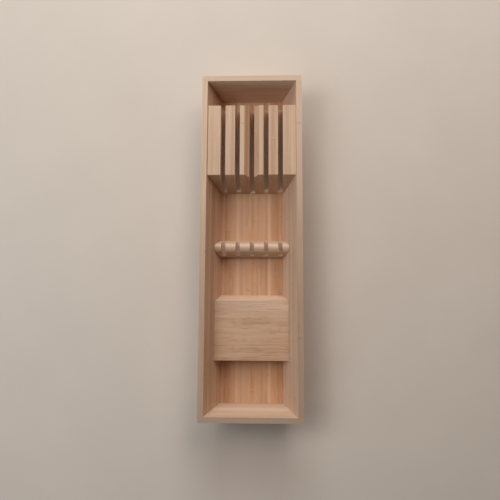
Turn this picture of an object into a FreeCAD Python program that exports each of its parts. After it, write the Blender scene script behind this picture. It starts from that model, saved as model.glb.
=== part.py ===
import FreeCAD, Part
import os
from collections import namedtuple

import Sketcher

# Drawer tray for kitchen knives, in laminated bamboo, in millimetres.
#
# An open tray with leaning walls holds three inserts that lift out: a slotted block for the
# blades at the far end, a notched rail in the middle and a rest for the handles near the other
# end. X runs across the tray, +Y along it towards the slotted block, and +Z up out of its mouth.
# The origin is the middle of the underside. Pegs under each insert drop into blind holes in the
# floor, which keeps the inserts in their places along the tray.

DOC = FreeCAD.newDocument("KnifeTray")

# ------------------------------------------------------------------ driving dimensions

SIZES = (
    # the tray
    ("outer_length", 500.0, "over the rim, along the knives"),
    ("outer_width", 147.0, "over the rim, across the knives"),
    ("outer_height", 60.0, "underside to rim"),
    ("rim_width", 8.0, "level width of every wall"),
    ("side_lean", 19.4, "side walls off upright, degrees"),
    ("end_lean", 12.5, "end walls off upright, degrees"),
    ("floor_thickness", 6.0, "floor staves"),
    ("corner_radius", 2.5, "upright outer corners of the end walls"),
    # dowels that hold each side wall to the end walls
    ("corner_dowel_diameter", 4.0, "corner dowels"),
    ("corner_dowel_length", 12.0, "half of it in each wall"),
    ("corner_dowel_margin", 18.0, "lower dowel above the underside, upper one below the rim"),
    # what all three inserts share
    ("insert_gap", 0.3, "between an insert and each side wall"),
    ("peg_diameter", 6.0, "pegs under the inserts"),
    ("peg_length", 16.0, "pegs under the inserts"),
    ("peg_seat", 4.0, "length of a peg that stands in the floor"),
    ("peg_clearance", 0.1, "round a peg in its floor hole"),
    ("peg_tip_gap", 0.5, "under a peg in its floor hole"),
    # slotted block
    ("block_drop", 2.5, "block's top below the rim"),
    ("block_top_length", 105.0, "top face, along the tray"),
    ("block_front_lean", 18.3, "front face off upright, degrees"),
    ("block_back_lean", 11.0, "back face off upright, degrees"),
    ("block_peg_inset", 20.0, "pegs in from both ends of the foot"),
    ("slot_width", 7.3, "every slot"),
    ("slot_floor", 7.5, "wood under a blade slot"),
    ("steel_slot_floor", 3.0, "wood under the middle slot, for a sharpening steel"),
    ("steel_groove", 7.0, "chamfer on each side of the middle slot"),
    ("outer_slat_foot", 0.4, "thickness of an outer slat's foot"),
    # notched rail
    ("rail_width", 24.5, "along the tray"),
    ("rail_height", 25.0, "above the floor"),
    ("rail_side", 7.5, "upright part of its two long sides"),
    ("rail_ridge", 7.0, "radius of its ridge"),
    ("notch_width", 6.0, "every notch"),
    ("notch_floor", 11.0, "wood under a notch"),
    # handle rest
    ("rest_length", 95.0, "foot, along the tray"),
    ("rest_height", 22.7, "above the floor"),
    ("rest_bevel", 9.4, "level run of the bevel on the far edge"),
    # shares of the floor's free length that lie between the inserts
    ("back_share", 0.0715, "far wall to block"),
    ("rail_share", 0.354, "block to rail"),
    ("rest_share", 0.2737, "rail to handle rest"),
)

SLATS = 6
SLOTS = SLATS - 1
FLOOR_STAVES = 5
REST_STAVES = 4

# ------------------------------------------------------------------ sizes worked out from them

LAYOUT = (
    ("side_slope", "tan(Sizes.side_lean * 1 deg)"),
    ("end_slope", "tan(Sizes.end_lean * 1 deg)"),
    ("front_slope", "tan(Sizes.block_front_lean * 1 deg)"),
    ("back_slope", "tan(Sizes.block_back_lean * 1 deg)"),
    ("wall_height", "Sizes.outer_height - Sizes.floor_thickness"),
    ("floor_half_width",
     "Sizes.outer_width / 2 - Sizes.rim_width - side_slope * wall_height"),
    ("floor_half_length",
     "Sizes.outer_length / 2 - Sizes.rim_width - end_slope * wall_height"),
    ("stave_width", f"2 * floor_half_width / {FLOOR_STAVES}"),
    ("corner_dowel_high", "Sizes.outer_height - Sizes.corner_dowel_margin"),
    # heights
    ("block_top", "Sizes.outer_height - Sizes.block_drop"),
    ("slot_bottom", "Sizes.floor_thickness + Sizes.slot_floor"),
    ("steel_slot_bottom", "Sizes.floor_thickness + Sizes.steel_slot_floor"),
    ("rail_shoulder", "Sizes.floor_thickness + Sizes.rail_side"),
    ("rail_top", "Sizes.floor_thickness + Sizes.rail_height"),
    ("notch_bottom", "Sizes.floor_thickness + Sizes.notch_floor"),
    ("rest_top", "Sizes.floor_thickness + Sizes.rest_height"),
    ("peg_bottom", "Sizes.floor_thickness - Sizes.peg_seat"),
    # across the tray
    ("slot_pitch",
     "(floor_half_width - Sizes.insert_gap - Sizes.outer_slat_foot - Sizes.slot_width / 2) / 2"),
    ("peg_across", "1.5 * slot_pitch"),
    # along the tray, from the far wall to the near one
    ("block_foot_length", "Sizes.block_top_length"
     " + (front_slope + back_slope) * (block_top - Sizes.floor_thickness)"),
    ("free_length",
     "2 * floor_half_length - block_foot_length - Sizes.rail_width - Sizes.rest_length"),
    ("block_far", "floor_half_length - Sizes.back_share * free_length"),
    ("block_near", "block_far - block_foot_length"),
    ("rail_middle", "block_near - Sizes.rail_share * free_length - Sizes.rail_width / 2"),
    ("rest_far", "rail_middle - Sizes.rail_width / 2 - Sizes.rest_share * free_length"),
    ("rest_stave", f"Sizes.rest_length / {REST_STAVES}"),
)


def make_sheet():
    """Write the driving dimensions into a spreadsheet, one aliased cell each."""
    sheet = DOC.addObject("Spreadsheet::Sheet", "Sizes")
    for row, (alias, value, note) in enumerate(SIZES, start=1):
        sheet.set(f"A{row}", alias)
        sheet.set(f"B{row}", str(value))
        sheet.setAlias(f"B{row}", alias)
        sheet.set(f"C{row}", note)
    DOC.recompute()


def make_layout():
    """Hold the sizes that follow from the sheet in a variable set."""
    layout = DOC.addObject("App::VarSet", "Layout")
    for name, formula in LAYOUT:
        layout.addProperty("App::PropertyFloat", name, "Layout")
        layout.setExpression(name, formula)
    DOC.recompute()


# ------------------------------------------------------------------ faces, as formulas of a height

def side_inside(height):
    """Distance from the middle to a side wall's inner face."""
    return (f"(Sizes.outer_width / 2 - Sizes.rim_width"
            f" - Layout.side_slope * (Sizes.outer_height - ({height})))")


def side_outside(height):
    """Distance from the middle to a side wall's outer face."""
    return f"({side_inside(height)} + Sizes.rim_width)"


def end_inside(height):
    """Distance from the middle to an end wall's inner face."""
    return (f"(Sizes.outer_length / 2 - Sizes.rim_width"
            f" - Layout.end_slope * (Sizes.outer_height - ({height})))")


def end_outside(height):
    """Distance from the middle to an end wall's outer face."""
    return f"({end_inside(height)} + Sizes.rim_width)"


def insert_side(height):
    """Distance from the middle to an insert's side face."""
    return f"({side_inside(height)} - Sizes.insert_gap)"


def block_front(height):
    """Place along the tray of the block's leaning front face."""
    return f"(Layout.block_near + Layout.front_slope * (({height}) - Sizes.floor_thickness))"


def block_back(height):
    """Place along the tray of the block's leaning back face."""
    return f"(Layout.block_far - Layout.back_slope * (({height}) - Sizes.floor_thickness))"


# ------------------------------------------------------------------ building blocks

UNDERSIDE = "0"
FLOOR = "Sizes.floor_thickness"
RIM = "Sizes.outer_height"
BLOCK_TOP = "Layout.block_top"
SLOT_BOTTOM = "Layout.slot_bottom"
STEEL_SLOT_BOTTOM = "Layout.steel_slot_bottom"
RAIL_SHOULDER = "Layout.rail_shoulder"
RAIL_TOP = "Layout.rail_top"
REST_TOP = "Layout.rest_top"
BLIND_HOLE = "2 * (Sizes.peg_diameter / 2 + Sizes.peg_clearance)"

# A level rectangle: its height and the places of its four sides, all of them formulas.
Slice = namedtuple("Slice", "height west east south north")


def new_body(name):
    """Start a sub-part."""
    body = DOC.addObject("PartDesign::Body", name)
    body.Label = name
    body.AllowCompound = True
    return body


def origin_feature(body, role):
    """One plane or axis of a body's own origin."""
    return next(item for item in body.Origin.OriginFeatures if item.Role == role)


def new_sketch(body, plane, offset):
    """Start a sketch on one of the body's own origin planes, moved along its normal."""
    sketch = body.newObject("Sketcher::SketchObject", f"{body.Name}_sketch")
    sketch.AttachmentSupport = [(origin_feature(body, plane), "")]
    sketch.MapMode = "FlatFace"
    sketch.setExpression("AttachmentOffset.Base.z", offset)
    return sketch


def drive(sketch, kind, line, point, formula):
    """Hold how far a point is from the origin along one axis of the sketch."""
    value = float(sketch.evalExpression(formula))
    index = sketch.addConstraint(Sketcher.Constraint(kind, -1, 1, line, point, value))
    sketch.setExpression(f"Constraints[{index}]", formula)


def add_outline(sketch, corners):
    """Add a closed outline of straight lines, whose corners are pairs of formulas."""
    first = sketch.GeometryCount
    count = len(corners)
    rough = [FreeCAD.Vector(step, step * step, 0) for step in range(count)]
    for step in range(count):
        sketch.addGeometry(Part.LineSegment(rough[step], rough[(step + 1) % count]), False)
    for step, (across, along) in enumerate(corners):
        line = first + step
        following = first + (step + 1) % count
        sketch.addConstraint(Sketcher.Constraint("Coincident", line, 2, following, 1))
        drive(sketch, "DistanceX", line, 1, across)
        drive(sketch, "DistanceY", line, 1, along)


def add_circle(sketch, centre, diameter):
    """Add a circle; its centre is a pair of formulas and its diameter another."""
    rough = Part.Circle(FreeCAD.Vector(1, 1, 0), FreeCAD.Vector(0, 0, 1), 1)
    circle = sketch.addGeometry(rough, False)
    drive(sketch, "DistanceX", circle, 3, centre[0])
    drive(sketch, "DistanceY", circle, 3, centre[1])
    index = sketch.addConstraint(Sketcher.Constraint("Diameter", circle, 2.0))
    sketch.setExpression(f"Constraints[{index}]", diameter)


def add_taper(body, low, high):
    """Add a solid with a level rectangle below, another above, and flat sides between them."""
    sketches = []
    for piece in (low, high):
        sketch = new_sketch(body, "XY_Plane", piece.height)
        add_outline(sketch, ((piece.west, piece.south), (piece.east, piece.south),
                             (piece.east, piece.north), (piece.west, piece.north)))
        sketches.append(sketch)
    taper = body.newObject("PartDesign::AdditiveLoft", f"{body.Name}_taper")
    taper.Profile = sketches[0]
    taper.Sections = sketches[1:]
    taper.Ruled = True
    DOC.recompute()


def add_feature(body, kind, sketch, length, side="One side", upwards=True):
    """Pad or pocket a sketch by a formula, along its normal or against it."""
    feature = body.newObject(f"PartDesign::{kind}", f"{body.Name}_{kind.lower()}")
    feature.Profile = sketch
    feature.SideType = side
    feature.Reversed = upwards == (kind == "Pocket")
    feature.setExpression("Length", length)
    DOC.recompute()
    return feature


def cut(body, sketch, length, side="One side", upwards=True, misses=False):
    """Pocket a sketch, and stop if that takes nothing from the solid."""
    before = body.Shape.Volume
    feature = add_feature(body, "Pocket", sketch, length, side, upwards)
    if body.Shape.Volume >= before and not misses:
        raise RuntimeError(f"{feature.Name} cuts nothing from {body.Label}")
    return feature


def bore_upwards(body, places):
    """Bore the blind holes that pegs are glued into, up from the underside of an insert."""
    sketch = new_sketch(body, "XY_Plane", FLOOR)
    for place in places:
        add_circle(sketch, place, "Sizes.peg_diameter")
    cut(body, sketch, "Sizes.peg_length - Sizes.peg_seat")


def round_edges(body, radius, wanted):
    """Round the edges that the test accepts, going by the box round each edge."""
    base = body.Tip
    names = [f"Edge{number}" for number, edge in enumerate(base.Shape.Edges, start=1)
             if wanted(edge.BoundBox)]
    if not names:
        raise RuntimeError(f"{body.Label} has no edge to round")
    fillet = body.newObject("PartDesign::Fillet", f"{body.Name}_round")
    fillet.Base = (base, names)
    fillet.setExpression("Radius", radius)
    DOC.recompute()


# ------------------------------------------------------------------ the tray

END_SIGNS = (("near", "-"), ("far", ""))
SIDE_SIGNS = (("left", "-"), ("right", ""))
CORNER_DOWEL_HEIGHTS = ("Sizes.corner_dowel_margin", "Layout.corner_dowel_high")


def corner_dowel_place(side, height):
    """Centre of a corner dowel, across the tray and up, in the middle of the side wall."""
    return (f"{side}({side_inside(height)} + Sizes.rim_width / 2)", height)


def corner_dowel_sketch(body, end, sides, height):
    """Sketch corner dowels of one end at one height, on the joint between the walls."""
    sketch = new_sketch(body, "XZ_Plane", f"-({end}{end_inside(height)})")
    for side in sides:
        add_circle(sketch, corner_dowel_place(side, height), "Sizes.corner_dowel_diameter")
    return sketch


def make_side_wall(name, side):
    """One long wall, which stands between the two end walls."""
    body = new_body(f"side_wall_{name}")
    slices = []
    for height in (UNDERSIDE, RIM):
        faces = (f"{side}{side_inside(height)}", f"{side}{side_outside(height)}")
        west, east = faces if side == "" else faces[::-1]
        slices.append(Slice(height, west, east, f"-{end_inside(height)}", end_inside(height)))
    add_taper(body, *slices)
    for _, end in END_SIGNS:
        for height in CORNER_DOWEL_HEIGHTS:
            sketch = corner_dowel_sketch(body, end, (side,), height)
            cut(body, sketch, "Sizes.corner_dowel_length", side="Symmetric")


def make_end_wall(name, end):
    """One short wall, which covers the ends of both side walls."""
    body = new_body(f"end_wall_{name}")
    slices = []
    for height in (UNDERSIDE, RIM):
        faces = (f"{end}{end_inside(height)}", f"{end}{end_outside(height)}")
        south, north = faces if end == "" else faces[::-1]
        slices.append(Slice(height, f"-{side_outside(height)}", side_outside(height), south, north))
    add_taper(body, *slices)
    for height in CORNER_DOWEL_HEIGHTS:
        sketch = corner_dowel_sketch(body, end, ("-", ""), height)
        cut(body, sketch, "Sizes.corner_dowel_length", side="Symmetric")
    rim = DOC.Sizes.outer_height
    outer = DOC.Sizes.outer_length / 2
    joint = outer - DOC.Sizes.rim_width / 2
    round_edges(body, "Sizes.corner_radius",
                lambda box: box.ZLength > rim / 2 and max(abs(box.YMin), abs(box.YMax)) > joint)


def make_corner_dowels():
    """The dowels that hold the side walls to the end walls, two to a corner."""
    body = new_body("corner_dowels")
    for _, end in END_SIGNS:
        for height in CORNER_DOWEL_HEIGHTS:
            sketch = corner_dowel_sketch(body, end, ("-", ""), height)
            add_feature(body, "Pad", sketch, "Sizes.corner_dowel_length", side="Symmetric")


def floor_stave_edge(number, height):
    """Place across the tray of the joint before stave `number`; the outer two meet the walls."""
    if number == 0:
        return f"-{side_inside(height)}"
    if number == FLOOR_STAVES:
        return side_inside(height)
    return f"(Layout.stave_width * {number} - Layout.floor_half_width)"


def make_floor_stave(number, pegs):
    """One strip of the floor, with the blind holes that the inserts' pegs stand in."""
    body = new_body(f"floor_stave_{number + 1}")
    slices = [Slice(height, floor_stave_edge(number, height), floor_stave_edge(number + 1, height),
                    f"-{end_inside(height)}", end_inside(height))
              for height in (UNDERSIDE, FLOOR)]
    add_taper(body, *slices)
    sketch = new_sketch(body, "XY_Plane", FLOOR)
    for place in pegs:
        add_circle(sketch, place, BLIND_HOLE)
    cut(body, sketch, "Sizes.peg_seat + Sizes.peg_tip_gap", upwards=False, misses=True)


# ------------------------------------------------------------------ the inserts

def make_pegs(name, places):
    """The pegs under one insert."""
    body = new_body(name)
    sketch = new_sketch(body, "XY_Plane", "Layout.peg_bottom")
    for place in places:
        add_circle(sketch, place, "Sizes.peg_diameter")
    add_feature(body, "Pad", sketch, "Sizes.peg_length")


def slot_middle(number):
    """Place across the tray of a slot's middle; slot 2 of 0 to 4 is the tray's middle."""
    return f"(Layout.slot_pitch * {number - SLOTS // 2})"


def slat_edge(number, height):
    """Places across the tray of a slat's two faces."""
    west = f"({slot_middle(number - 1)} + Sizes.slot_width / 2)"
    east = f"({slot_middle(number)} - Sizes.slot_width / 2)"
    if number == 0:
        west = f"-{insert_side(height)}"
    if number == SLATS - 1:
        east = insert_side(height)
    return west, east


def block_pegs():
    """Places of the slotted block's pegs, as (slat, across, along)."""
    alongs = ("Layout.block_far - Sizes.block_peg_inset",
              "Layout.block_near + Sizes.block_peg_inset")
    return [(slat, f"{side}Layout.peg_across", along)
            for slat, side in ((1, "-"), (SLATS - 2, "")) for along in alongs]


def make_slat(number):
    """One upright slat of the block; the two outer ones are wedges that follow the walls."""
    body = new_body(f"block_slat_{number + 1}")
    add_taper(body, *(Slice(height, *slat_edge(number, height), block_front(height),
                            block_back(height))
                      for height in (FLOOR, BLOCK_TOP)))
    pegs = [(across, along) for slat, across, along in block_pegs() if slat == number]
    if pegs:
        bore_upwards(body, pegs)
    if number in (SLATS // 2 - 1, SLATS // 2):
        cut_steel_groove(body, "-" if number < SLATS // 2 else "")


def cut_steel_groove(body, side):
    """Chamfer a middle slat along the slot for the sharpening steel."""
    edge = "Sizes.slot_width / 2"
    sketch = new_sketch(body, "XZ_Plane", "-Layout.block_near")
    add_outline(sketch, ((f"{side}({edge})", "Layout.block_top - Sizes.steel_groove"),
                         (f"{side}({edge} + Sizes.steel_groove)", BLOCK_TOP),
                         (f"{side}({edge})", BLOCK_TOP)))
    cut(body, sketch, "Layout.block_foot_length", upwards=False)


def make_spacer(number):
    """One strip between two slats, which is the bottom of a slot."""
    steel_slot = number == SLOTS // 2
    body = new_body("steel_slot_spacer" if steel_slot else f"block_spacer_{number + 1}")
    middle = slot_middle(number)
    add_taper(body, *(Slice(height, f"({middle} - Sizes.slot_width / 2)",
                            f"({middle} + Sizes.slot_width / 2)", block_front(height),
                            block_back(height))
                      for height in (FLOOR, STEEL_SLOT_BOTTOM if steel_slot else SLOT_BOTTOM)))


def rail_pegs():
    """Places of the rail's pegs."""
    return [(f"{side}Layout.peg_across", "Layout.rail_middle") for side in ("-", "")]


def make_rail():
    """The rail: a ridged bar, ends cut to the walls' lean, with a notch for each slot."""
    body = new_body("notched_rail")
    sketch = new_sketch(body, "YZ_Plane", "0")
    add_rail_section(sketch)
    add_feature(body, "Pad", sketch, f"2 * {insert_side(RAIL_TOP)}", side="Symmetric")

    ends = new_sketch(body, "XZ_Plane", "-Layout.rail_middle")
    for _, side in SIDE_SIGNS:
        add_outline(ends, ((f"{side}{insert_side(FLOOR)}", FLOOR),
                           (f"{side}{insert_side(RAIL_TOP)}", RAIL_TOP),
                           (f"{side}{insert_side(RAIL_TOP)}", FLOOR)))
    cut(body, ends, "Sizes.rail_width", side="Symmetric")

    notch = new_sketch(body, "XZ_Plane", "-Layout.rail_middle")
    first = slot_middle(0)
    west, east = f"({first} - Sizes.notch_width / 2)", f"({first} + Sizes.notch_width / 2)"
    add_outline(notch, ((west, "Layout.notch_bottom"), (east, "Layout.notch_bottom"),
                        (east, RAIL_TOP), (west, RAIL_TOP)))
    pocket = cut(body, notch, "Sizes.rail_width", side="Symmetric")
    row = body.newObject("PartDesign::LinearPattern", "notch_row")
    row.Originals = [pocket]
    row.Direction = (origin_feature(body, "X_Axis"), [""])
    row.setExpression("Length", f"Layout.slot_pitch * {SLOTS - 1}")
    row.Occurrences = SLOTS
    body.Tip = row
    DOC.recompute()
    bore_upwards(body, rail_pegs())


def add_rail_section(sketch):
    """Outline of the rail: a flat foot, upright sides, and two slopes up to a rounded ridge."""
    middle = "Layout.rail_middle"
    south, north = f"({middle} - Sizes.rail_width / 2)", f"({middle} + Sizes.rail_width / 2)"
    ridge = f"({RAIL_TOP} - Sizes.rail_ridge)"
    corners = ((south, FLOOR), (north, FLOOR), (north, RAIL_SHOULDER), (south, RAIL_SHOULDER))
    foot_south, foot_north, shoulder_north, shoulder_south = (
        FreeCAD.Vector(*(float(sketch.evalExpression(formula)) for formula in corner), 0)
        for corner in corners)
    centre = FreeCAD.Vector(*(float(sketch.evalExpression(formula))
                              for formula in (middle, ridge)), 0)
    reach = float(sketch.evalExpression("Sizes.rail_ridge"))
    ridge_north = centre + FreeCAD.Vector(reach * 0.8, reach * 0.6, 0)
    ridge_south = centre + FreeCAD.Vector(-reach * 0.8, reach * 0.6, 0)
    peak = centre + FreeCAD.Vector(0, reach, 0)
    for piece in (Part.LineSegment(foot_south, foot_north),
                  Part.LineSegment(foot_north, shoulder_north),
                  Part.LineSegment(shoulder_north, ridge_north),
                  Part.Arc(ridge_north, peak, ridge_south),
                  Part.LineSegment(ridge_south, shoulder_south),
                  Part.LineSegment(shoulder_south, foot_south)):
        sketch.addGeometry(piece, False)
    for line, following in ((0, 1), (1, 2), (4, 5), (5, 0)):
        sketch.addConstraint(Sketcher.Constraint("Coincident", line, 2, following, 1))
    for slope, arc in (((2, 2), (3, 1)), ((4, 1), (3, 2))):
        sketch.addConstraint(Sketcher.Constraint("Tangent", *slope, *arc))
    for (line, point), (across, up) in zip(((0, 1), (1, 1), (2, 1), (5, 1)), corners):
        drive(sketch, "DistanceX", line, point, across)
        drive(sketch, "DistanceY", line, point, up)
    drive(sketch, "DistanceX", 3, 3, middle)
    drive(sketch, "DistanceY", 3, 3, ridge)
    index = sketch.addConstraint(Sketcher.Constraint("Radius", 3, reach))
    sketch.setExpression(f"Constraints[{index}]", "Sizes.rail_ridge")


def rest_pegs():
    """Places of the handle rest's pegs, as (stave, across, along)."""
    return [(stave, f"{side}Layout.peg_across",
             f"(Layout.rest_far - Layout.rest_stave * {stave + 0.5})")
            for stave in (0, REST_STAVES - 1) for side in ("-", "")]


def make_rest_stave(number):
    """One board of the handle rest; the far one carries the bevel."""
    body = new_body(f"rest_stave_{number + 1}")
    south = f"(Layout.rest_far - Layout.rest_stave * {number + 1})"
    north = f"(Layout.rest_far - Layout.rest_stave * {number})"
    bevel = "Sizes.rest_bevel" if number == 0 else "0"
    add_taper(body,
              Slice(FLOOR, f"-{insert_side(FLOOR)}", insert_side(FLOOR), south, north),
              Slice(REST_TOP, f"-{insert_side(REST_TOP)}", insert_side(REST_TOP), south,
                    f"({north} - {bevel})"))
    pegs = [(across, along) for stave, across, along in rest_pegs() if stave == number]
    if pegs:
        bore_upwards(body, pegs)


# ------------------------------------------------------------------ the whole part

def build():
    """Make every sub-part."""
    make_sheet()
    make_layout()

    block_places = [place[1:] for place in block_pegs()]
    rest_places = [place[1:] for place in rest_pegs()]
    for name, side in SIDE_SIGNS:
        make_side_wall(name, side)
    for name, end in END_SIGNS:
        make_end_wall(name, end)
    make_corner_dowels()
    for number in range(FLOOR_STAVES):
        make_floor_stave(number, block_places + rail_pegs() + rest_places)

    for number in range(SLATS):
        make_slat(number)
    for number in range(SLOTS):
        make_spacer(number)
    make_pegs("block_pegs", block_places)

    make_rail()
    make_pegs("rail_pegs", rail_pegs())

    for number in range(REST_STAVES):
        make_rest_stave(number)
    make_pegs("rest_pegs", rest_places)


def check():
    """Stop if any object failed, or if a sub-part has no good solid."""
    for item in DOC.Objects:
        if "Invalid" in item.State or "Error" in item.State:
            raise RuntimeError(f"{item.Name} failed: {item.State}")
    for body in DOC.findObjects("PartDesign::Body"):
        if body.Shape.isNull() or not body.Shape.isValid() or not body.Shape.Solids:
            raise RuntimeError(f"{body.Label} has no valid solid")


def export():
    """Write each sub-part to a file that has its name."""
    os.makedirs("parts", exist_ok=True)
    for body in DOC.findObjects("PartDesign::Body"):
        body.Shape.exportStep(f"parts/{body.Label}.step")
        print(f"{body.Label}: {len(body.Shape.Solids)} solid(s), {body.Shape.Volume:.0f} mm3")


build()
DOC.recompute()
check()
export()
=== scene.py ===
import logging
import math
from dataclasses import dataclass, field, replace
from enum import Enum

import bpy
from mathutils import Matrix, Vector

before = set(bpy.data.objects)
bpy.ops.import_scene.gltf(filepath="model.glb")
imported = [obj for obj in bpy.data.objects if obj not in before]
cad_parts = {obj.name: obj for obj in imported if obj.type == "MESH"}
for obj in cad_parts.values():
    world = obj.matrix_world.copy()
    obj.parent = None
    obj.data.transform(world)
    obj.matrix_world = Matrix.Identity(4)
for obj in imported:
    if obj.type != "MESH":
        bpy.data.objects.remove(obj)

# A drawer tray for kitchen knives in laminated bamboo: the looks of its walls, floor, slotted
# block, notched rail and handle rest. Lengths are metres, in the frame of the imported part: X
# across the tray, +Y along it towards the slotted block, +Z up out of its mouth.

log = logging.getLogger("knife_tray")
MM = 0.001

Socket = bpy.types.NodeSocket
Colour = tuple[float, float, float]


class Axis(Enum):
    """A direction of the part's frame."""

    ACROSS = 0
    ALONG = 1
    UP = 2


def srgb(red: int, green: int, blue: int) -> Colour:
    """Turn a display colour into a linear one.

    Args:
        red: Red, 0 to 255.
        green: Green, 0 to 255.
        blue: Blue, 0 to 255.

    Returns:
        The linear colour.
    """
    def linear(part: int) -> float:
        """Linear value of one channel."""
        share = part / 255
        return share / 12.92 if share <= 0.04045 else ((share + 0.055) / 1.055) ** 2.4
    return linear(red), linear(green), linear(blue)


# ------------------------------------------------------------------ shader wiring

class Wiring:
    """Adds shader nodes to one material and joins them."""

    def __init__(self, name: str) -> None:
        """Start a material that has only its output and surface shader.

        Args:
            name: Name of the material.
        """
        self.material = bpy.data.materials.new(name)
        self.material.use_nodes = True
        self.tree = self.material.node_tree
        self.shader = self.tree.nodes["Principled BSDF"]

    def node(self, kind: str, **settings: object) -> bpy.types.Node:
        """Add a node.

        Args:
            kind: Its type, without the ShaderNode prefix.
            **settings: Properties to set on it.

        Returns:
            The node.
        """
        made = self.tree.nodes.new(f"ShaderNode{kind}")
        for key, value in settings.items():
            setattr(made, key, value)
        return made

    def feed(self, socket: Socket, value: object) -> None:
        """Join a socket to another, or give it a constant.

        Args:
            socket: An input.
            value: An output socket, or a number or tuple.
        """
        if isinstance(value, bpy.types.NodeSocket):
            self.tree.links.new(value, socket)
        else:
            socket.default_value = value

    def maths(self, operation: str, *values: object, clamp: bool = False) -> Socket:
        """Work out a number.

        Args:
            operation: A math node's operation.
            *values: Its inputs, sockets or numbers.
            clamp: Whether the result is held between 0 and 1.

        Returns:
            The result.
        """
        made = self.node("Math", operation=operation, use_clamp=clamp)
        for socket, value in zip(made.inputs, values):
            self.feed(socket, value)
        return made.outputs[0]

    def weigh(self, *parts: tuple[Socket, float]) -> Socket:
        """Add numbers up, each with its own weight.

        Args:
            *parts: Pairs of a number and its weight.

        Returns:
            The sum.
        """
        total = None
        for value, weight in parts:
            scaled = self.maths("MULTIPLY", value, weight)
            total = scaled if total is None else self.maths("ADD", total, scaled)
        return total

    def ease(self, value: object, low: float, high: float,
             start: float = 0.0, end: float = 1.0) -> Socket:
        """Turn a number smoothly from one value to another as it crosses a stretch.

        Args:
            value: The number.
            low: Where the turn starts.
            high: Where it ends.
            start: Result below the stretch.
            end: Result above it.

        Returns:
            The result.
        """
        made = self.node("MapRange", interpolation_type="SMOOTHSTEP")
        for index, part in enumerate((value, low, high, start, end)):
            self.feed(made.inputs[index], part)
        return made.outputs[0]

    def noise(self, place: Socket, stretch: tuple[float, float, float],
              detail: float = 2.0, roughness: float = 0.5) -> Socket:
        """Read a stretched noise.

        Args:
            place: Place on the surface, in metres.
            stretch: Features per metre along each axis.
            detail: Octaves.
            roughness: How strong the small ones are.

        Returns:
            The noise, about 0 to 1.
        """
        scaled = self.node("VectorMath", operation="MULTIPLY")
        self.feed(scaled.inputs[0], place)
        self.feed(scaled.inputs[1], stretch)
        made = self.node("TexNoise", noise_dimensions="3D")
        self.feed(made.inputs["Vector"], scaled.outputs[0])
        made.inputs["Scale"].default_value = 1.0
        made.inputs["Detail"].default_value = detail
        made.inputs["Roughness"].default_value = roughness
        return made.outputs[0]

    def chance(self, number: Socket) -> Socket:
        """A fixed random number, 0 to 1, for each whole number.

        Args:
            number: The whole number.

        Returns:
            Its random number.
        """
        made = self.node("TexWhiteNoise", noise_dimensions="1D")
        self.feed(made.inputs["W"], number)
        return made.outputs["Value"]

    def tint(self, mode: str, amount: object, base: object, other: object) -> Socket:
        """Mix two colours.

        Args:
            mode: A mix node's blend type.
            amount: How much of the other colour.
            base: First colour.
            other: Second colour.

        Returns:
            The mixed colour.
        """
        made = self.node("Mix", data_type="RGBA", blend_type=mode)
        for socket, value in ((made.inputs[0], amount), (made.inputs[6], base),
                              (made.inputs[7], other)):
            if isinstance(value, tuple) and len(value) == 3:
                value = (*value, 1.0)
            self.feed(socket, value)
        return made.outputs[2]

    def ramp(self, value: Socket, stops: tuple[tuple[float, Colour], ...]) -> Socket:
        """Look a number up in a row of colours.

        Args:
            value: The number.
            stops: Pairs of a place and a colour.

        Returns:
            The colour.
        """
        made = self.node("ValToRGB")
        row = made.color_ramp.elements
        while len(row) < len(stops):
            row.new(0.5)
        for element, (place, colour) in zip(row, stops):
            element.position = place
            element.color = (*colour, 1.0)
        self.feed(made.inputs[0], value)
        return made.outputs[0]


# ------------------------------------------------------------------ finishes

class Pressing(Enum):
    """How the strips of a bamboo board are glued up."""

    EDGE = "edge"
    FLAT = "flat"


@dataclass(frozen=True)
class Figure:
    """One scale of the wood's figure.

    Attributes:
        along: Features per metre along the fibres.
        across: Features per metre across them.
        roughness: How strong its small features are.
        weight: Its share in the wood's tone.
    """

    along: float
    across: float
    roughness: float
    weight: float


STREAKS = Figure(4.0, 190.0, 0.50, 0.34)
THREADS = Figure(11.0, 560.0, 0.55, 0.30)
FIBRES = Figure(40.0, 1700.0, 0.60, 0.14)
CLOUDS = Figure(7.0, 22.0, 0.50, 0.22)
DOTS_PER_METRE = 900.0


@dataclass(frozen=True)
class Palette:
    """The colours of one board.

    Attributes:
        pale: Colour of the palest fibres.
        honey: Colour of most of the wood.
        amber: Colour of the darkest fibres.
    """

    pale: Colour
    honey: Colour
    amber: Colour

    # Painted light: the paler colour of the slot walls, the faces square to the stack.
    SLOT_WALL_LIGHT = srgb(244, 216, 188)
    # Colour that the upper faces turn towards at the near end.
    NEAR_END_TINT = (0.62, 0.58, 0.57)

    @property
    def umber(self) -> Colour:
        """Colour of glue lines and growth nodes."""
        return tuple(part * 0.55 for part in self.amber)

    @property
    def bundle(self) -> Colour:
        """Colour of the fibre bundles' cut ends."""
        return tuple(part * 0.6 for part in self.amber)

    def warmer(self, amount: float) -> "Palette":
        """Turn the colours towards orange.

        Args:
            amount: How far; below nought turns them away from it.

        Returns:
            The warmer colours.
        """
        shares = (1 - 0.05 * amount, 1 - 0.14 * amount, 1 - 0.24 * amount)
        return Palette(*(tuple(part * share for part, share in zip(colour, shares))
                         for colour in (self.pale, self.honey, self.amber)))


@dataclass(frozen=True)
class Spot:
    """The point of a board that its material is worked out for.

    Attributes:
        seed: Where in the pattern the board was cut.
        pattern: The point's place in the pattern.
        place: Its place in the frame, one number for each axis.
        facing: The way that the surface faces there, one number for each axis.
    """

    seed: float
    pattern: Socket
    place: tuple[Socket, ...]
    facing: tuple[Socket, ...]


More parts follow.
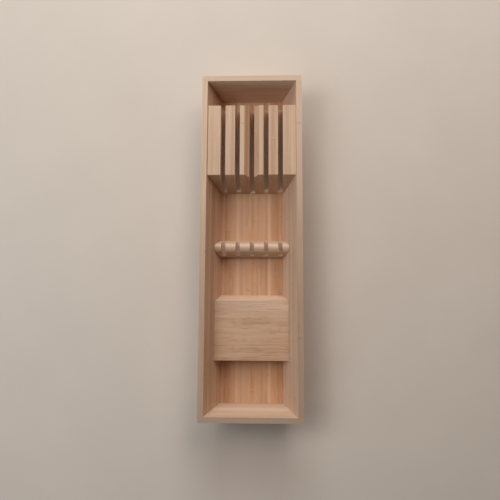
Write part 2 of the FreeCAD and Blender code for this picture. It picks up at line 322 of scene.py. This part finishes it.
@dataclass(frozen=True)
class Wood:
    """What the wood shows at a point, each about 0 to 1 apart from the strip's number.

    Attributes:
        number: Number of the strip.
        edge: How near the strip's glued edge is.
        line: How near the dark line of a growth node is.
        lip: How near the pale lip of a growth node is.
        strayed: The point's place in the pattern, strayed with the fibres.
        streaks: The broad streaks.
        threads: The thin threads between them.
        fibres: The finest fibres.
        clouds: A soft mottle.
    """

    number: Socket
    edge: Socket
    line: Socket
    lip: Socket
    strayed: Socket
    streaks: Socket
    threads: Socket
    fibres: Socket
    clouds: Socket


@dataclass(frozen=True)
class BambooFinish:
    """Planed and oiled bamboo, laminated from strips.

    Attributes:
        name: What the finish is used on.
        grain: Direction of the fibres.
        stack: Direction in which the strips lie side by side.
        pressing: How the strips are glued up.
        strip: Width of a strip.
        pale: Colour of the palest fibres.
        honey: Colour of most of the wood.
        amber: Colour of the darkest fibres.
        spread: How much the strips differ in tone, 0 to 1.
        contrast: How strongly the fibres show, 0 to 1.
        wander: How far the fibres stray from straight.
        knuckle_gap: Length between a strip's growth nodes.
        knuckle_depth: How dark the growth nodes are, 0 to 1.
        knuckle_width: How wide their dark lines are.
        roughness: Surface roughness.
        odd_strips: Strips that stand out, each with its middle, its width, and how much paler
            it is than the rest.
        near_end_darkening: How much darker the upper faces are made towards the near end, 0 to 1.
        slot_wall_light: How much paler the faces square to the stack are painted, as painted light
            on the walls of the slots, 0 to 1.
    """

    name: str
    grain: Axis
    stack: Axis
    pressing: Pressing = Pressing.EDGE
    strip: float = 4.6 * MM
    pale: Colour = srgb(226, 192, 163)
    honey: Colour = srgb(208, 170, 140)
    amber: Colour = srgb(176, 132, 102)
    spread: float = 0.30
    contrast: float = 0.8
    wander: float = 0.9 * MM
    knuckle_gap: float = 0.23
    knuckle_depth: float = 0.35
    knuckle_width: float = 1.6 * MM
    roughness: float = 0.48
    odd_strips: tuple[tuple[float, float, float], ...] = ()
    near_end_darkening: float = 0.0
    slot_wall_light: float = 0.0

    SEED_STEP = (1.37, 0.73, 2.11)
    TONE_GAIN = 1.9
    VEIN_DARKNESS = 0.26
    LIP_SHARE = 0.55
    LIP_OFFSET = 2.8 * MM
    LIP_REACH = 3.0 * MM
    CURL = 9.0 * MM
    GLUE_DARKNESS = 0.16
    GLUE_LINE = 0.32 * MM
    CUT_FACE_SHARE = 0.75
    WORN_SHARE = 0.30
    FIBRE_DULLNESS = 0.16
    WORN_SHINE = 0.07
    OILED_IOR = 1.46
    OIL_FILM = 0.10
    OIL_ROUGHNESS = 0.40
    RELIEF_STRENGTH = 0.4
    RELIEF_DEPTH = 0.16 * MM
    ARRIS_RADIUS = 1.3 * MM

    def stretch(self, along: float, across: float) -> tuple[float, float, float]:
        """Noise features per metre for a pattern that runs with the fibres.

        Args:
            along: Features per metre along the fibres.
            across: Features per metre across them.

        Returns:
            Features per metre along X, Y and Z.
        """
        return tuple(along if axis == self.grain.value else across for axis in range(3))

    def figure(self, wires: Wiring, place: Socket, figure: Figure) -> Socket:
        """Read one scale of the wood's figure.

        Args:
            wires: The material in the making.
            place: Place in the pattern.
            figure: The scale.

        Returns:
            The figure, about 0 to 1.
        """
        stretch = self.stretch(figure.along, figure.across)
        return wires.noise(place, stretch, roughness=figure.roughness)

    def material(self, seed: float, warmth: float) -> bpy.types.Material:
        """Make the material of one board.

        Args:
            seed: Where in the pattern the board was cut, so that no two look alike.
            warmth: How much warmer than the rest of the wood the board is.

        Returns:
            The material.
        """
        wires = Wiring(f"{self.name}_{seed:.0f}")
        palette = Palette(self.pale, self.honey, self.amber).warmer(warmth)
        spot = self.spot(wires, seed)
        wood = self.wood(wires, spot)
        worn = wires.maths("MULTIPLY", self.arris(wires),
                           wires.ease(wood.clouds, 0.3, 0.6, 0.35, 1.0))
        colour = self.planed(wires, spot, wood, palette)
        colour = self.end_grain(wires, spot, palette, colour)
        colour = self.used(wires, spot, wood, worn, palette, colour)
        wires.feed(wires.shader.inputs["Base Color"], colour)

        dullness = wires.weigh((wood.fibres, self.FIBRE_DULLNESS), (worn, -self.WORN_SHINE))
        wires.feed(wires.shader.inputs["Roughness"],
                   wires.maths("ADD", dullness, self.roughness - self.FIBRE_DULLNESS / 2))
        wires.shader.inputs["IOR"].default_value = self.OILED_IOR
        wires.shader.inputs["Coat Weight"].default_value = self.OIL_FILM
        wires.shader.inputs["Coat Roughness"].default_value = self.OIL_ROUGHNESS
        relief = wires.weigh((wood.threads, 0.6), (wood.fibres, 0.5), (wood.edge, -0.6),
                             (wood.line, -0.35), (wood.lip, 0.3))
        bump = wires.node("Bump")
        bump.inputs["Strength"].default_value = self.RELIEF_STRENGTH
        bump.inputs["Distance"].default_value = self.RELIEF_DEPTH
        wires.feed(bump.inputs["Height"], relief)
        wires.feed(wires.shader.inputs["Normal"], bump.outputs[0])
        return wires.material

    def spot(self, wires: Wiring, seed: float) -> Spot:
        """Find where on the board, and in the pattern, the point is.

        Args:
            wires: The material in the making.
            seed: Where in the pattern the board was cut.

        Returns:
            The point.
        """
        source = wires.node("TexCoord")
        shift = wires.node("VectorMath", operation="ADD")
        wires.feed(shift.inputs[0], source.outputs["Object"])
        wires.feed(shift.inputs[1], tuple(seed * step for step in self.SEED_STEP))
        place, facing = (wires.node("SeparateXYZ") for _ in range(2))
        wires.feed(place.inputs[0], source.outputs["Object"])
        wires.feed(facing.inputs[0], source.outputs["Normal"])
        return Spot(seed, shift.outputs[0], tuple(place.outputs), tuple(facing.outputs))

    def wood(self, wires: Wiring, spot: Spot) -> Wood:
        """Find what the wood shows at a point.

        Args:
            wires: The material in the making.
            spot: The point.

        Returns:
            What the wood shows.
        """
        number, edge = self.strips(wires, spot)
        line, lip = self.knuckles(wires, spot, number)
        strayed = self.strayed(wires, spot.pattern, lip)
        streaks, threads, fibres = (self.figure(wires, strayed, figure)
                                    for figure in (STREAKS, THREADS, FIBRES))
        clouds = self.figure(wires, spot.pattern, CLOUDS)
        return Wood(number, edge, line, lip, strayed, streaks, threads, fibres, clouds)

    def tone(self, wires: Wiring, spot: Spot, wood: Wood) -> Socket:
        """Work out how pale the wood is.

        Args:
            wires: The material in the making.
            spot: The point.
            wood: What the wood shows there.

        Returns:
            The tone, from 0, the darkest, to 1, the palest.
        """
        mixed = wires.weigh((wood.streaks, STREAKS.weight), (wood.threads, THREADS.weight),
                            (wood.fibres, FIBRES.weight), (wood.clouds, CLOUDS.weight))
        tone = wires.maths("MULTIPLY", wires.maths("SUBTRACT", mixed, 0.5),
                           self.TONE_GAIN * self.contrast)
        leaning = wires.maths("SUBTRACT", wires.chance(wood.number), 0.5)
        tone = wires.maths("ADD", tone, wires.maths("MULTIPLY", leaning, self.spread))
        for middle, width, paler in self.odd_strips:
            away = wires.maths("ABSOLUTE", wires.maths("SUBTRACT", spot.place[self.stack.value],
                                                       middle))
            inside = wires.ease(away, width / 2 - 0.5 * MM, width / 2, paler, 0.0)
            tone = wires.maths("ADD", tone, inside)
        if self.pressing is Pressing.FLAT:
            veins = wires.maths("MULTIPLY", self.veins(wires, wood.strayed),
                                -self.VEIN_DARKNESS)
            tone = wires.maths("ADD", tone, veins)
        return wires.maths("ADD", tone, 0.5, clamp=True)

    def planed(self, wires: Wiring, spot: Spot, wood: Wood, palette: Palette) -> Socket:
        """Colour a planed face: fibres, growth nodes and glued edges.

        Args:
            wires: The material in the making.
            spot: The point.
            wood: What the wood shows there.
            palette: The board's colours.

        Returns:
            The colour.
        """
        colour = wires.ramp(self.tone(wires, spot, wood),
                            ((0.1, palette.amber), (0.5, palette.honey), (0.9, palette.pale)))
        marks = ((wood.lip, self.knuckle_depth * self.LIP_SHARE, palette.pale),
                 (wood.line, self.knuckle_depth, palette.umber),
                 (wood.edge, self.GLUE_DARKNESS, palette.umber))
        for mark, strength, other in marks:
            colour = wires.tint("MIX", wires.maths("MULTIPLY", mark, strength), colour, other)
        return colour

    def end_grain(self, wires: Wiring, spot: Spot, palette: Palette, colour: Socket) -> Socket:
        """Darken the faces cut across the fibres, and dot them with the bundles' ends.

        Args:
            wires: The material in the making.
            spot: The point.
            palette: The board's colours.
            colour: The colour so far.

        Returns:
            The colour.
        """
        cut_face = wires.ease(wires.maths("ABSOLUTE", spot.facing[self.grain.value]), 0.55, 0.8)
        dots = wires.noise(spot.pattern, (DOTS_PER_METRE,) * 3, 1.0, 0.4)
        dotted = wires.ramp(dots, ((0.34, palette.bundle), (0.5, palette.amber),
                                   (0.68, palette.honey)))
        share = wires.maths("MULTIPLY", cut_face, self.CUT_FACE_SHARE)
        return wires.tint("MIX", share, colour, dotted)

    def used(self, wires: Wiring, spot: Spot, wood: Wood, worn: Socket, palette: Palette,
             colour: Socket) -> Socket:
        """Paint light on the faces square to the stack, pale the rubbed arrises, and darken the
        upper faces towards the near end.

        Args:
            wires: The material in the making.
            spot: The point.
            wood: What the wood shows there.
            worn: How rubbed the wood is, 0 to 1.
            palette: The board's colours.
            colour: The colour so far.

        Returns:
            The colour.
        """
        # Painted light: the faces square to the stack, the walls of the block's slots, are painted
        # paler.
        if self.slot_wall_light:
            square = wires.maths("ABSOLUTE", spot.facing[self.stack.value])
            lit_slot_walls = wires.maths("MULTIPLY", wires.ease(square, 0.75, 0.95), self.slot_wall_light)
            colour = wires.tint("MIX", lit_slot_walls, colour, Palette.SLOT_WALL_LIGHT)
        rubbed = wires.maths("MULTIPLY", worn, self.WORN_SHARE)
        colour = wires.tint("MIX", rubbed, colour, palette.pale)
        # The upper faces are made darker towards the near end.
        if self.near_end_darkening:
            colour = wires.tint("MULTIPLY", self.near_end_mask(wires, spot, wood.clouds), colour,
                                Palette.NEAR_END_TINT)
        return colour

    def strips(self, wires: Wiring, spot: Spot) -> tuple[Socket, Socket]:
        """Divide the board into strips of uneven width.

        Args:
            wires: The material in the making.
            spot: The point.

        Returns:
            The strip's number, and how near its glued edge is, 0 to 1.
        """
        across = spot.place[self.stack.value]
        even = wires.maths("ADD", wires.maths("DIVIDE", across, self.strip),
                           spot.seed * 7.0 + 0.5)
        swell = wires.maths("SINE", wires.maths("MULTIPLY", even, math.tau * 0.37))
        reach = 0.2 if self.pressing is Pressing.EDGE else 0.0
        counted = wires.maths("ADD", even, wires.maths("MULTIPLY", swell, reach))
        inside = wires.maths("ABSOLUTE", wires.maths("SUBTRACT", wires.maths("FRACT", counted), 0.5))
        gap = wires.maths("MULTIPLY", wires.maths("SUBTRACT", 0.5, inside), self.strip)
        return wires.maths("FLOOR", counted), wires.ease(gap, 0.0, self.GLUE_LINE, 1.0, 0.0)

    def knuckles(self, wires: Wiring, spot: Spot, number: Socket) -> tuple[Socket, Socket]:
        """Find the growth nodes, each at its own place on its strip.

        Args:
            wires: The material in the making.
            spot: The point.
            number: The strip's number.

        Returns:
            How near its dark line is, and how near its pale lip, each 0 to 1.
        """
        wide = 1.0 if self.pressing is Pressing.EDGE else 1.7
        start = wires.chance(wires.maths("ADD", number, 37.0))
        turn = wires.maths("ADD", wires.maths("DIVIDE", spot.place[self.grain.value],
                                              self.knuckle_gap),
                           wires.maths("ADD", start, spot.seed * 0.31))
        off = wires.maths("MULTIPLY", wires.maths("SUBTRACT", wires.maths("FRACT", turn), 0.5),
                          self.knuckle_gap)
        curl = wires.noise(spot.pattern, self.stretch(50.0, 170.0), 3.0, 0.6)
        off = wires.maths("ADD", off, wires.maths("MULTIPLY", wires.maths("SUBTRACT", curl, 0.5),
                                                  self.CURL * wide))
        patch = wires.ease(wires.noise(spot.pattern, self.stretch(90.0, 260.0), 1.0), 0.38, 0.62)
        line = wires.ease(wires.maths("ABSOLUTE", off), 0.2 * MM, self.knuckle_width, 1.0, 0.0)
        past = wires.maths("ABSOLUTE", wires.maths("SUBTRACT", off, self.LIP_OFFSET * wide))
        lip = wires.ease(past, 0.2 * MM, self.LIP_REACH * wide, 1.0, 0.0)
        return wires.maths("MULTIPLY", line, patch), lip

    def strayed(self, wires: Wiring, place: Socket, lip: Socket) -> Socket:
        """Make the fibres stray from straight, most of all round the growth nodes.

        Args:
            wires: The material in the making.
            place: Place in the pattern.
            lip: How near a growth node is, 0 to 1.

        Returns:
            The place to read the fibres at.
        """
        sway = wires.noise(place, self.stretch(26.0, 75.0), 2.0, 0.55)
        reach = wires.maths("ADD", wires.maths("MULTIPLY", lip, self.wander * 1.5), self.wander * 2)
        sideways = wires.maths("MULTIPLY", wires.maths("SUBTRACT", sway, 0.5), reach)
        moved = wires.node("CombineXYZ")
        for axis in range(3):
            if axis != self.grain.value:
                wires.feed(moved.inputs[axis], sideways)
        total = wires.node("VectorMath", operation="ADD")
        wires.feed(total.inputs[0], place)
        wires.feed(total.inputs[1], moved.outputs[0])
        return total.outputs[0]

    def veins(self, wires: Wiring, place: Socket) -> Socket:
        """Thin wavy lines, where a flat board's fibre bundles come to the surface.

        Args:
            wires: The material in the making.
            place: Place in the pattern, strayed.

        Returns:
            How near a line is, 0 to 1.
        """
        height = wires.noise(place, self.stretch(10.0, 280.0), 2.0, 0.5)
        away = wires.maths("ABSOLUTE", wires.maths("SUBTRACT", height, 0.5))
        patch = wires.ease(wires.noise(place, self.stretch(30.0, 120.0), 1.0), 0.40, 0.60)
        return wires.maths("MULTIPLY", wires.ease(away, 0.0, 0.045, 1.0, 0.0), patch)

    def near_end_mask(self, wires: Wiring, spot: Spot, clouds: Socket) -> Socket:
        """Find the upper faces towards the near end, which are made darker.

        Args:
            wires: The material in the making.
            spot: The point.
            clouds: A soft mottle, about 0 to 1.

        Returns:
            How much darker the wood is made, 0 to 1.
        """
        reach = wires.ease(spot.place[Axis.ALONG.value], -0.12, 0.16, 1.0, 0.0)
        level = wires.ease(spot.facing[Axis.UP.value], 0.75, 0.97)
        mottled = wires.ease(clouds, 0.2, 0.7, 0.8, 1.0)
        amount = wires.maths("MULTIPLY", wires.maths("MULTIPLY", reach, level), mottled)
        return wires.maths("MULTIPLY", amount, self.near_end_darkening)

    def arris(self, wires: Wiring) -> Socket:
        """Find the board's edges.

        Args:
            wires: The material in the making.

        Returns:
            How near an edge is, 0 to 1.
        """
        rounded = wires.node("Bevel", samples=4)
        rounded.inputs["Radius"].default_value = self.ARRIS_RADIUS
        geometry = wires.node("NewGeometry")
        match = wires.node("VectorMath", operation="DOT_PRODUCT")
        wires.feed(match.inputs[0], rounded.outputs[0])
        wires.feed(match.inputs[1], geometry.outputs["True Normal"])
        return wires.ease(match.outputs["Value"], 0.80, 0.99, 1.0, 0.0)


PEG = BambooFinish("peg", Axis.UP, Axis.ACROSS)


# ------------------------------------------------------------------ pieces of the tray

@dataclass
class Board:
    """One board of the frame, with the softness of a sanded edge.

    Attributes:
        node: Name of the frame's node.
        finish: What it is finished in.
        seed: Where in the pattern it was cut.
        softness: Width of the sanded edge.
        warmth: How much warmer than the rest of the wood it is.
    """

    node: str
    finish: BambooFinish
    seed: float
    softness: float = 0.6 * MM
    warmth: float = 0.0

    SHARP_ANGLE = math.radians(28)
    STEPS = 3
    WELD_GAP = 0.002 * MM
    FLAT_FACE_WEIGHT = 100

    def dress(self) -> bpy.types.Object:
        """Soften the board's edges and give it its material.

        Returns:
            The board.
        """
        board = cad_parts[self.node]
        weld = board.modifiers.new("joined_faces", "WELD")
        weld.merge_threshold = self.WELD_GAP
        edges = board.modifiers.new("sanded_edges", "BEVEL")
        edges.width = self.softness
        edges.segments = self.STEPS
        edges.limit_method = "ANGLE"
        edges.angle_limit = self.SHARP_ANGLE
        edges.use_clamp_overlap = True
        edges.harden_normals = False
        shading = board.modifiers.new("flat_faces", "WEIGHTED_NORMAL")
        shading.keep_sharp = False
        shading.weight = self.FLAT_FACE_WEIGHT
        for slot in board.material_slots:
            slot.material = self.finish.material(self.seed, self.warmth)
        log.info("%s: %s", self.node, self.finish.name)
        return board


@dataclass
class Tray:
    """The shell: four leaning walls and a floor of edge-glued staves.

    Attributes:
        wall_strip: Width of a strip in the walls.
        floor_strip: Width of a strip in the floor.
        wall_softness: Width of the walls' sanded edges.
        stave_softness: Width of the floor staves' edges.
        dowel_softness: Width of the corner dowels' edges.
        stave_warmth: How much warmer each floor stave is, from left to right, partly the staves' own
            tone and partly painted warm bounce light.
        wall_warmth: The same for the left, right, near and far wall; the right wall's cooler tone is
            painted light.
        pale_strips: Two pale strips of the floor, as BambooFinish has them.
    """

    wall_strip: float = 7.5 * MM
    floor_strip: float = 6.2 * MM
    wall_softness: float = 0.8 * MM
    stave_softness: float = 0.2 * MM
    dowel_softness: float = 0.1 * MM
    # Floor stave warmth: partly the staves' own tone, partly painted warm bounce light.
    stave_warmth: tuple[float, ...] = (1.5, 1.2, 1.5, 1.3, 1.8)
    # The right wall is painted cooler, as painted light: the cool light that falls on it.
    wall_warmth: tuple[float, ...] = (0.1, -0.35, -0.35, -0.4)
    pale_strips: tuple[tuple[float, float, float], ...] = ((-0.0222, 0.0055, 0.26),
                                                           (0.0265, 0.0050, 0.26))

    def build(self) -> None:
        """Dress the walls, the floor and the corner dowels."""
        side = BambooFinish("side_wall", Axis.ALONG, Axis.UP, strip=self.wall_strip,
                            knuckle_gap=0.31, knuckle_depth=0.28, knuckle_width=3.2 * MM,
                            near_end_darkening=0.8)
        calm = replace(side, name="calm_side_wall", spread=0.16, contrast=0.55)
        end = replace(side, name="end_wall", grain=Axis.ACROSS, contrast=0.65)
        # The floor's honey colour is a little paler than the other boards': painted warm bounce
        # light.
        floor = BambooFinish("floor", Axis.ALONG, Axis.ACROSS, strip=self.floor_strip,
                             spread=0.28, honey=srgb(217, 177, 146), wander=2.2 * MM,
                             knuckle_gap=0.19, odd_strips=self.pale_strips)
        walls = (("side_wall_left", side), ("side_wall_right", calm),
                 ("end_wall_near", end), ("end_wall_far", end))
        for seed, ((node, finish), warmth) in enumerate(zip(walls, self.wall_warmth), start=1):
            Board(node, finish, seed, self.wall_softness, warmth).dress()
        for number, warmth in enumerate(self.stave_warmth, start=1):
            Board(f"floor_stave_{number}", floor, 10 + number, self.stave_softness, warmth).dress()
        Board("corner_dowels", end, 17, self.dowel_softness).dress()


@dataclass
class SlottedBlock:
    """The block that holds the blades: six slats with spacers between them.

    Attributes:
        slat_warmth: How much warmer each slat is, from left to right.
        spacers: Nodes of the spacers, from left to right.
        slat_softness: Width of the slats' sanded edges.
        spacer_softness: Width of the spacers' edges.
        peg_softness: Width of the pegs' edges.
        dark_strip: The darker strip beside the middle slot, as BambooFinish has it.
    """

    slat_warmth: tuple[float, ...] = (0.0, 0.05, 0.45, 0.3, 0.4, 0.3)
    spacers: tuple[str, ...] = ("block_spacer_1", "block_spacer_2", "steel_slot_spacer",
                                "block_spacer_4", "block_spacer_5")
    slat_softness: float = 0.6 * MM
    spacer_softness: float = 0.3 * MM
    peg_softness: float = 0.4 * MM
    dark_strip: tuple[float, float, float] = (-0.0065, 0.0055, -0.05)

    def build(self) -> None:
        """Dress the slats, the spacers and the pegs."""
        # The slats' faces square to the stack, the walls of the slots, are painted paler as painted
        # light.
        slat = BambooFinish("block_slat", Axis.ALONG, Axis.ACROSS, spread=0.25,
                            odd_strips=(self.dark_strip,), slot_wall_light=0.75)
        # The spacers' paler colours are painted light on the floors of the slots.
        spacer = BambooFinish("block_spacer", Axis.ALONG, Axis.ACROSS, spread=0.2,
                              honey=srgb(226, 192, 163), amber=srgb(208, 170, 140))
        for number, warmth in enumerate(self.slat_warmth, start=1):
            Board(f"block_slat_{number}", slat, 20 + number, self.slat_softness, warmth).dress()
        for number, node in enumerate(self.spacers):
            Board(node, spacer, 30 + number, self.spacer_softness).dress()
        Board("block_pegs", PEG, 37, self.peg_softness).dress()


@dataclass
class NotchedRail:
    """The rail that keeps the knives apart in the middle of the tray.

    Attributes:
        strip: Width of a strip.
        softness: Width of the rail's and the pegs' sanded edges.
    """

    strip: float = 6.5 * MM
    softness: float = 0.4 * MM

    def build(self) -> None:
        """Dress the rail and its pegs."""
        rail = BambooFinish("rail", Axis.ACROSS, Axis.ALONG, strip=self.strip, spread=0.2)
        Board("notched_rail", rail, 41, self.softness).dress()
        Board("rail_pegs", PEG, 42, self.softness).dress()


@dataclass
class HandleRest:
    """The bevelled rest that the handles lie on.

    Attributes:
        warmth: How much warmer each board is, from the far one to the near one; the far board's
            cooler tone is painted light.
        board_width: Width of a board.
        softness: Width of the boards' edges.
        peg_softness: Width of the pegs' edges.
    """

    # The far board is painted cooler, as painted light: the cool sheen of the far lamps on its
    # bevel.
    warmth: tuple[float, ...] = (0.0, 0.5, 0.7, 0.75)
    board_width: float = 23.75 * MM
    softness: float = 0.15 * MM
    peg_softness: float = 0.4 * MM

    def build(self) -> None:
        """Dress the boards and the pegs."""
        board = BambooFinish("rest_board", Axis.ACROSS, Axis.ALONG, Pressing.FLAT,
                             strip=self.board_width, spread=0.08, wander=2.6 * MM, contrast=0.9,
                             knuckle_gap=0.13, knuckle_depth=0.2, knuckle_width=2.7 * MM)
        for number, warmth in enumerate(self.warmth, start=1):
            Board(f"rest_stave_{number}", board, 50 + number, self.softness, warmth).dress()
        Board("rest_pegs", PEG, 57, self.peg_softness).dress()


# ------------------------------------------------------------------ studio

@dataclass(frozen=True)
class Softbox:
    """A large square lamp that points at the tray.

    Attributes:
        name: Name of the lamp.
        bearing: Where it stands, in degrees to the right of straight ahead.
        height: How high it stands over the floor, in degrees.
        watts: Its power.
        colour: Its colour.
        side: Side of its square.
        distance: How far it is from the tray.
    """

    name: str
    bearing: float
    height: float
    watts: float
    colour: Colour = (1.0, 1.0, 1.0)
    side: float = 0.8
    distance: float = 1.6

    def hang(self) -> None:
        """Hang the lamp."""
        bearing, height = math.radians(self.bearing), math.radians(self.height)
        place = Vector((math.sin(bearing) * math.cos(height), math.cos(bearing) * math.cos(height),
                        math.sin(height))) * self.distance
        data = bpy.data.lights.new(self.name, "AREA")
        data.size, data.energy, data.color = self.side, self.watts, self.colour
        lamp = bpy.data.objects.new(self.name, data)
        lamp.location = place
        lamp.rotation_euler = (-place).to_track_quat("-Z", "Y").to_euler()
        bpy.context.scene.collection.objects.link(lamp)


@dataclass
class Studio:
    """Floor, soft light and camera.

    Attributes:
        eye: Where the camera is.
        tilt: How far the camera leans from straight down, towards the far end, in degrees.
        swing: How far it turns to the left of straight ahead, in degrees.
        roll: Turn about its own line of sight, in degrees.
        lens: Focal length in millimetres.
        floor_colour: Colour of the floor.
        floor_size: Side of the floor.
        lamps: The lamps.
        sky: Strength of the even light from all round.
    """

    eye: Vector = field(default_factory=lambda: Vector((0.0273, -0.1171, 0.8679)))
    tilt: float = 7.51
    swing: float = 2.03
    roll: float = 0.26
    lens: float = 41.28
    floor_colour: Colour = srgb(221, 203, 187)
    floor_size: float = 6.0
    lamps: tuple[Softbox, ...] = (
        Softbox("far_low_lamp", 0.0, 12.0, 18.7, (0.81, 0.95, 1.0), 1.0, 2.6),
        Softbox("far_lamp", 0.0, 30.0, 11.5, (0.77, 0.94, 1.0)),
        Softbox("far_right_lamp", 30.0, 50.0, 6.6, (1.0, 0.81, 0.72)),
        Softbox("far_left_lamp", -60.0, 60.0, 5.4, (1.0, 0.93, 0.89)),
        Softbox("left_lamp", -90.0, 50.0, 6.5, (0.74, 0.88, 1.0)),
        Softbox("near_left_lamp", -135.0, 12.0, 8.7, (0.56, 0.82, 1.0), 1.0, 2.6),
        Softbox("near_lamp", 180.0, 12.0, 5.0, (0.98, 1.0, 0.88), 1.0, 2.6))
    sky: float = 0.03

    FLOOR_ROUGHNESS = 0.85
    MOTTLE_SHADE = 0.9
    MOTTLE_PER_METRE = 9.0
    SKY_COLOUR = (1.0, 0.985, 0.96)
    CLIPPING = (0.01, 20.0)

    def build(self) -> None:
        """Make the floor, the lamps, the sky and the camera."""
        self.make_floor()
        for lamp in self.lamps:
            lamp.hang()
        self.make_sky()
        self.make_camera()

    def make_floor(self) -> None:
        """A plain pale floor with the faintest mottle."""
        half = self.floor_size / 2
        mesh = bpy.data.meshes.new("floor")
        mesh.from_pydata([(-half, -half, 0), (half, -half, 0), (half, half, 0), (-half, half, 0)],
                         [], [(0, 1, 2, 3)])
        floor = bpy.data.objects.new("floor", mesh)
        bpy.context.scene.collection.objects.link(floor)
        wires = Wiring("floor")
        source = wires.node("TexCoord")
        mottle = wires.noise(source.outputs["Object"], (self.MOTTLE_PER_METRE,) * 3, 4.0, 0.55)
        darker = tuple(part * self.MOTTLE_SHADE for part in self.floor_colour)
        wires.feed(wires.shader.inputs["Base Color"],
                   wires.tint("MIX", mottle, darker, self.floor_colour))
        wires.shader.inputs["Roughness"].default_value = self.FLOOR_ROUGHNESS
        mesh.materials.append(wires.material)

    def make_sky(self) -> None:
        """Even, slightly warm light from all round."""
        world = bpy.data.worlds.new("studio")
        world.use_nodes = True
        background = world.node_tree.nodes["Background"]
        background.inputs["Color"].default_value = (*self.SKY_COLOUR, 1.0)
        background.inputs["Strength"].default_value = self.sky
        bpy.context.scene.world = world
        bpy.context.scene.view_settings.view_transform = "Standard"

    def make_camera(self) -> None:
        """Place the camera above the tray, looking down into its mouth."""
        data = bpy.data.cameras.new("camera")
        data.lens = self.lens
        data.clip_start, data.clip_end = self.CLIPPING
        camera = bpy.data.objects.new("camera", data)
        tilt, swing, roll = (math.radians(part) for part in (self.tilt, -self.swing, self.roll))
        sight = Vector((math.sin(swing), math.sin(tilt) * math.cos(swing),
                        -math.cos(tilt) * math.cos(swing)))
        right = sight.cross(Vector((0, 1, 0))).normalized()
        top = right.cross(sight)
        facing = Matrix((right, top, -sight)).transposed()
        turned = facing @ Matrix.Rotation(roll, 3, "Z")
        camera.matrix_world = Matrix.Translation(self.eye) @ turned.to_4x4()
        bpy.context.scene.collection.objects.link(camera)
        bpy.context.scene.camera = camera


# ------------------------------------------------------------------ the whole scene

def main() -> None:
    """Build every group in order."""
    logging.basicConfig(level=logging.INFO, format="%(name)s: %(message)s")
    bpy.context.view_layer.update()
    for group in (Tray(), SlottedBlock(), NotchedRail(), HandleRest(), Studio()):
        group.build()
        log.info("%s is built", type(group).__name__)


if __name__ == "__main__":
    main()
